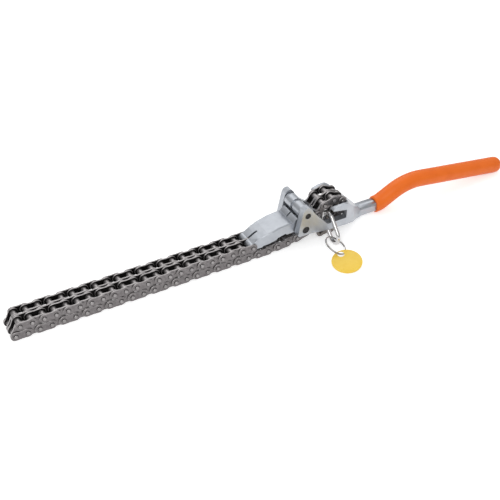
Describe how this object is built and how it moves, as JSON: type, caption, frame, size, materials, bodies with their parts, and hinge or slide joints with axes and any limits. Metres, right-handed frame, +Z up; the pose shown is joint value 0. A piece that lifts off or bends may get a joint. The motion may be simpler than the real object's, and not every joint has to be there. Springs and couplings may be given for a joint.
{
  "type": "chain oil filter wrench",
  "caption": "Chain oil filter wrench: bent lever with a forked head, swinging hook, locking dog and double-strand chain loop that grips a round filter; link, ring and tag on one arm.",
  "frame": {"origin": "middle of the whole tool's footprint, on the table it lies on", "axes": "+X along the tool towards the grip, +Y across the head towards the bare arm, +Z up"},
  "size_m": [0.4822, 0.0836, 0.0424],
  "materials": {
    "forged_steel": "satin",
    "grip_vinyl": "satin",
    "black_pin": "satin",
    "chain_steel": "satin",
    "link_plated": "bright",
    "ring_plated": "bright",
    "tag_card": "satin"
  },
  "bodies": {
    "handle": {"handle_fork": "forged_steel", "grip_sleeve": "grip_vinyl", "hook_pivot_pin": "black_pin", "dog_pivot_pin": "black_pin", "feed_chain_1": "chain_steel", "feed_chain_2": "chain_steel", "feed_chain_3": "chain_steel", "feed_chain_4": "chain_steel", "feed_chain_5": "chain_steel", "feed_chain_6": "chain_steel"},
    "hook": {"hook": "forged_steel"},
    "dog": {"chain_dog": "forged_steel"},
    "top_chain_1": {"top_chain_1": "chain_steel"},
    "top_chain_2": {"top_chain_2": "chain_steel"},
    "top_chain_3": {"top_chain_3": "chain_steel"},
    "top_chain_4": {"top_chain_4": "chain_steel"},
    "top_chain_5": {"top_chain_5": "chain_steel"},
    "top_chain_6": {"top_chain_6": "chain_steel"},
    "top_chain_7": {"top_chain_7": "chain_steel"},
    "top_chain_8": {"top_chain_8": "chain_steel"},
    "top_chain_9": {"top_chain_9": "chain_steel"},
    "top_chain_10": {"top_chain_10": "chain_steel"},
    "top_chain_11": {"top_chain_11": "chain_steel"},
    "lower_chain_1": {"lower_chain_1": "chain_steel"},
    "lower_chain_2": {"lower_chain_2": "chain_steel"},
    "lower_chain_3": {"lower_chain_3": "chain_steel"},
    "lower_chain_4": {"lower_chain_4": "chain_steel"},
    "lower_chain_5": {"lower_chain_5": "chain_steel"},
    "lower_chain_6": {"lower_chain_6": "chain_steel"},
    "lower_chain_7": {"lower_chain_7": "chain_steel"},
    "lower_chain_8": {"lower_chain_8": "chain_steel"},
    "lower_chain_9": {"lower_chain_9": "chain_steel"},
    "lower_chain_10": {"lower_chain_10": "chain_steel"},
    "lower_chain_11": {"lower_chain_11": "chain_steel"},
    "tail_chain": {"tail_chain": "chain_steel"},
    "tether_link": {"tether_link": "link_plated"},
    "split_ring": {"split_ring": "ring_plated"},
    "tag": {"tag": "tag_card"}
  },
  "joints": [
    {"name": "hook_pivot", "type": "hinge", "parent": "handle", "child": "hook", "pos_m": [0.01351, 0.02337, 0.0205], "axis": [0, 1, 0], "range_deg": [0, 10]},
    {"name": "dog_pivot", "type": "hinge", "parent": "handle", "child": "dog", "pos_m": [0.01511, 0.02337, 0.0342], "axis": [0, -1, 0], "range_deg": [0, 35]},
    {"name": "top_swing_1", "type": "hinge", "parent": "hook", "child": "top_chain_1", "pos_m": [-0.03249, 0.02337, 0.01235], "axis": [0, 1, 0], "range_deg": [0, 50.29]},
    {"name": "top_swing_2", "type": "hinge", "parent": "top_chain_1", "child": "top_chain_2", "pos_m": [-0.05154, 0.02337, 0.01235], "axis": [0, 1, 0], "range_deg": [-6.25, 0]},
    {"name": "top_swing_3", "type": "hinge", "parent": "top_chain_2", "child": "top_chain_3", "pos_m": [-0.07059, 0.02337, 0.01235], "axis": [0, 1, 0], "range_deg": [-6.22, 0]},
    {"name": "top_swing_4", "type": "hinge", "parent": "top_chain_3", "child": "top_chain_4", "pos_m": [-0.08964, 0.02337, 0.01235], "axis": [0, 1, 0], "range_deg": [-6.18, 0]},
    {"name": "top_swing_5", "type": "hinge", "parent": "top_chain_4", "child": "top_chain_5", "pos_m": [-0.10869, 0.02337, 0.01235], "axis": [0, 1, 0], "range_deg": [-6.14, 0]},
    {"name": "top_swing_6", "type": "hinge", "parent": "top_chain_5", "child": "top_chain_6", "pos_m": [-0.12774, 0.02337, 0.01235], "axis": [0, 1, 0], "range_deg": [-6.1, 0]},
    {"name": "top_swing_7", "type": "hinge", "parent": "top_chain_6", "child": "top_chain_7", "pos_m": [-0.14679, 0.02337, 0.01235], "axis": [0, 1, 0], "range_deg": [-6.05, 0]},
    {"name": "top_swing_8", "type": "hinge", "parent": "top_chain_7", "child": "top_chain_8", "pos_m": [-0.16584, 0.02337, 0.01235], "axis": [0, 1, 0], "range_deg": [-6, 0]},
    {"name": "top_swing_9", "type": "hinge", "parent": "top_chain_8", "child": "top_chain_9", "pos_m": [-0.18489, 0.02337, 0.01235], "axis": [0, 1, 0], "range_deg": [-5.95, 0]},
    {"name": "top_swing_10", "type": "hinge", "parent": "top_chain_9", "child": "top_chain_10", "pos_m": [-0.20394, 0.02337, 0.01235], "axis": [0, 1, 0], "range_deg": [-6.88, 0]},
    {"name": "top_swing_11", "type": "hinge", "parent": "top_chain_10", "child": "top_chain_11", "pos_m": [-0.22299, 0.02337, 0.01235], "axis": [0, 1, 0], "range_deg": [-16.17, 0]},
    {"name": "lower_swing_1", "type": "hinge", "parent": "handle", "child": "lower_chain_1", "pos_m": [-0.02755, 0.02337, 0.004], "axis": [0, 1, 0], "range_deg": [0, 3.02]},
    {"name": "lower_swing_2", "type": "hinge", "parent": "lower_chain_1", "child": "lower_chain_2", "pos_m": [-0.0466, 0.02337, 0.004], "axis": [0, 1, 0], "range_deg": [0, 6.49]},
    {"name": "lower_swing_3", "type": "hinge", "parent": "lower_chain_2", "child": "lower_chain_3", "pos_m": [-0.06565, 0.02337, 0.004], "axis": [0, 1, 0], "range_deg": [0, 5.09]},
    {"name": "lower_swing_4", "type": "hinge", "parent": "lower_chain_3", "child": "lower_chain_4", "pos_m": [-0.0847, 0.02337, 0.004], "axis": [0, 1, 0], "range_deg": [0, 5.05]},
    {"name": "lower_swing_5", "type": "hinge", "parent": "lower_chain_4", "child": "lower_chain_5", "pos_m": [-0.10375, 0.02337, 0.004], "axis": [0, 1, 0], "range_deg": [0, 5.02]},
    {"name": "lower_swing_6", "type": "hinge", "parent": "lower_chain_5", "child": "lower_chain_6", "pos_m": [-0.1228, 0.02337, 0.004], "axis": [0, 1, 0], "range_deg": [0, 5.97]},
    {"name": "lower_swing_7", "type": "hinge", "parent": "lower_chain_6", "child": "lower_chain_7", "pos_m": [-0.14185, 0.02337, 0.004], "axis": [0, 1, 0], "range_deg": [0, 5.93]},
    {"name": "lower_swing_8", "type": "hinge", "parent": "lower_chain_7", "child": "lower_chain_8", "pos_m": [-0.1609, 0.02337, 0.004], "axis": [0, 1, 0], "range_deg": [0, 5.89]},
    {"name": "lower_swing_9", "type": "hinge", "parent": "lower_chain_8", "child": "lower_chain_9", "pos_m": [-0.17995, 0.02337, 0.004], "axis": [0, 1, 0], "range_deg": [0, 5.85]},
    {"name": "lower_swing_10", "type": "hinge", "parent": "lower_chain_9", "child": "lower_chain_10", "pos_m": [-0.199, 0.02337, 0.004], "axis": [0, 1, 0], "range_deg": [0, 5.82]},
    {"name": "lower_swing_11", "type": "hinge", "parent": "lower_chain_10", "child": "lower_chain_11", "pos_m": [-0.21805, 0.02337, 0.004], "axis": [0, 1, 0], "range_deg": [0, 5.79]},
    {"name": "tail_swing", "type": "hinge", "parent": "handle", "child": "tail_chain", "pos_m": [0.04955, 0.02337, 0.01376], "axis": [0, 1, 0], "range_deg": [0, 3]},
    {"name": "tether_swing", "type": "hinge", "parent": "handle", "child": "tether_link", "pos_m": [0.03951, 0.00795, 0.0161], "axis": [-1, 0, 0], "range_deg": [0, 20]},
    {"name": "ring_swing", "type": "hinge", "parent": "tether_link", "child": "split_ring", "pos_m": [0.03951, -0.0044, 0.00375], "axis": [-1, 0, 0], "range_deg": [0, 15]},
    {"name": "tag_swing", "type": "hinge", "parent": "split_ring", "child": "tag", "pos_m": [0.03369, -0.01957, 0.00406], "axis": [-0.8988, 0, 0.4384], "range_deg": [0, 30]}
  ],
  "couplings": [
    {"joint": "top_swing_1", "follows": "hook_pivot", "ratio": 5.0273},
    {"joint": "top_swing_2", "follows": "hook_pivot", "ratio": -0.62389},
    {"joint": "top_swing_3", "follows": "hook_pivot", "ratio": -0.62066},
    {"joint": "top_swing_4", "follows": "hook_pivot", "ratio": -0.61693},
    {"joint": "top_swing_5", "follows": "hook_pivot", "ratio": -0.61278},
    {"joint": "top_swing_6", "follows": "hook_pivot", "ratio": -0.60829},
    {"joint": "top_swing_7", "follows": "hook_pivot", "ratio": -0.60353},
    {"joint": "top_swing_8", "follows": "hook_pivot", "ratio": -0.5986},
    {"joint": "top_swing_9", "follows": "hook_pivot", "ratio": -0.59357},
    {"joint": "top_swing_10", "follows": "hook_pivot", "ratio": -0.6861},
    {"joint": "top_swing_11", "follows": "hook_pivot", "ratio": -1.6152},
    {"joint": "lower_swing_1", "follows": "hook_pivot", "ratio": 0.30002},
    {"joint": "lower_swing_2", "follows": "hook_pivot", "ratio": 0.64762},
    {"joint": "lower_swing_3", "follows": "hook_pivot", "ratio": 0.50731},
    {"joint": "lower_swing_4", "follows": "hook_pivot", "ratio": 0.50356},
    {"joint": "lower_swing_5", "follows": "hook_pivot", "ratio": 0.50001},
    {"joint": "lower_swing_6", "follows": "hook_pivot", "ratio": 0.59562},
    {"joint": "lower_swing_7", "follows": "hook_pivot", "ratio": 0.59121},
    {"joint": "lower_swing_8", "follows": "hook_pivot", "ratio": 0.58723},
    {"joint": "lower_swing_9", "follows": "hook_pivot", "ratio": 0.58368},
    {"joint": "lower_swing_10", "follows": "hook_pivot", "ratio": 0.5806},
    {"joint": "lower_swing_11", "follows": "hook_pivot", "ratio": 0.57799}
  ]
}
